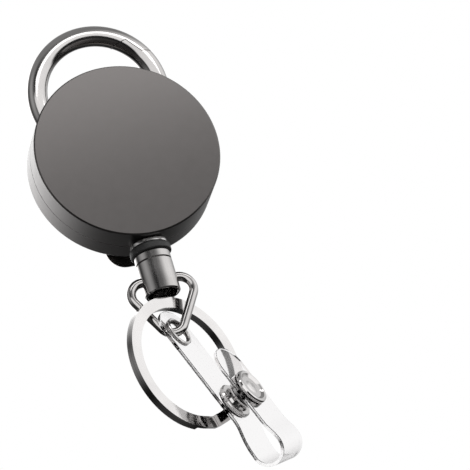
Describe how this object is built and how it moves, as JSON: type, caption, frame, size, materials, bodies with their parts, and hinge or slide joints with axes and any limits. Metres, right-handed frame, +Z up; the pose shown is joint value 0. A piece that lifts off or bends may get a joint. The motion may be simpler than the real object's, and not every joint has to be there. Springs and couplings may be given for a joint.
{
  "type": "retractable badge reel",
  "caption": "Round metal retractable badge reel with belt clip, ring carabiner, swivel cord end, triangle ring, split key ring and clear snap strap.",
  "frame": {"origin": "centre of the case's flat front face", "axes": "+X right as the front is seen, +Y to the back, +Z up; the cord leaves along -Z"},
  "size_m": [0.0408, 0.0202, 0.1101],
  "materials": {
    "gunmetal": "satin dark plating",
    "dark_chrome": "polished dark plating",
    "nickel": "bright nickel plating",
    "spring_steel": "blued strip",
    "steel": "bare steel",
    "spool_plastic": "natural acetal",
    "cord": "braided nylon",
    "bumper_rubber": "matte black",
    "clear_vinyl": "clear soft vinyl"
  },
  "bodies": {
    "case": {"front_cover": "gunmetal", "rear_cover": "gunmetal", "cord_nozzle": "nickel", "centre_post": "steel", "front_washer": "spool_plastic", "rear_washer": "spool_plastic", "power_spring": "spring_steel", "cord_lead": "cord", "belt_clip_base": "dark_chrome", "clip_boss": "dark_chrome", "clip_rivet": "dark_chrome"},
    "cord_spool": {"spool": "spool_plastic", "spring_cover": "spool_plastic", "cord_winding": "cord"},
    "clip_leg": {"belt_clip_leg": "dark_chrome"},
    "carabiner": {"carabiner_ring": "dark_chrome", "gate_pin": "steel"},
    "gate": {"carabiner_gate": "dark_chrome"},
    "cord_end": {"pull_cord": "cord", "cord_crimp": "steel", "rubber_bumper": "bumper_rubber"},
    "swivel": {"ferrule": "dark_chrome"},
    "triangle": {"triangle_ring": "dark_chrome"},
    "key_ring": {"split_ring": "nickel"},
    "strap": {"strap_main_leaf": "clear_vinyl", "strap_eyelet": "nickel", "snap_stud_back": "nickel", "snap_stud": "nickel"},
    "strap_flap": {"strap_snap_leaf": "clear_vinyl", "snap_socket": "nickel", "snap_cap": "nickel"}
  },
  "joints": [
    {"name": "cord_pull", "type": "slide", "parent": "case", "child": "cord_end", "axis": [0, 0, -1], "range_m": [0, 0.6], "stiffness_N_per_m": 1.67, "springref_m": -0.6, "deforming": ["pull_cord"]},
    {"name": "spool_spin", "type": "hinge", "parent": "case", "child": "cord_spool", "pos_m": [0, 0.0056, 0], "axis": [0, 1, 0], "range_deg": [0, 2845]},
    {"name": "clip_flex", "type": "hinge", "parent": "case", "child": "clip_leg", "pos_m": [0, 0.01465, 0.017], "axis": [1, 0, 0], "range_deg": [0, 10], "stiffness_Nm_per_rad": 2, "springref_deg": -2.86},
    {"name": "ring_tilt", "type": "hinge", "parent": "case", "child": "carabiner", "pos_m": [0.001, 0.01465, 0.00643], "axis": [-1, 0, 0], "range_deg": [0, 15]},
    {"name": "gate_open", "type": "hinge", "parent": "carabiner", "child": "gate", "pos_m": [0.01352, 0.01362, 0.01481], "axis": [0, -0.9925, -0.1219], "range_deg": [0, 25], "stiffness_Nm_per_rad": 0.01, "springref_deg": -28.65},
    {"name": "ferrule_swivel", "type": "hinge", "parent": "cord_end", "child": "swivel", "pos_m": [0, 0.0056, -0.0244], "axis": [0, 0, 1], "continuous": true},
    {"name": "triangle_swing", "type": "hinge", "parent": "swivel", "child": "triangle", "pos_m": [0, 0.0056, -0.02845], "axis": [1, 0, 0], "range_deg": [-15, 15]},
    {"name": "ring_turn", "type": "hinge", "parent": "triangle", "child": "key_ring", "pos_m": [0.00036, 0.0056, -0.0341], "axis": [0, 0, -1], "range_deg": [-60, 0]},
    {"name": "strap_swing", "type": "hinge", "parent": "triangle", "child": "strap", "pos_m": [0.0007, 0.0055, -0.041], "axis": [-0.6719, 0.7056, -0.225], "range_deg": [0, 45]},
    {"name": "snap_open", "type": "hinge", "parent": "strap", "child": "strap_flap", "pos_m": [0.01606, 0.00719, -0.07276], "axis": [0.6247, 0.7032, 0.3396], "range_deg": [0, 75]}
  ],
  "couplings": [
    {"joint": "spool_spin", "follows": "cord_pull", "rad_per_m": 82.6}
  ]
}
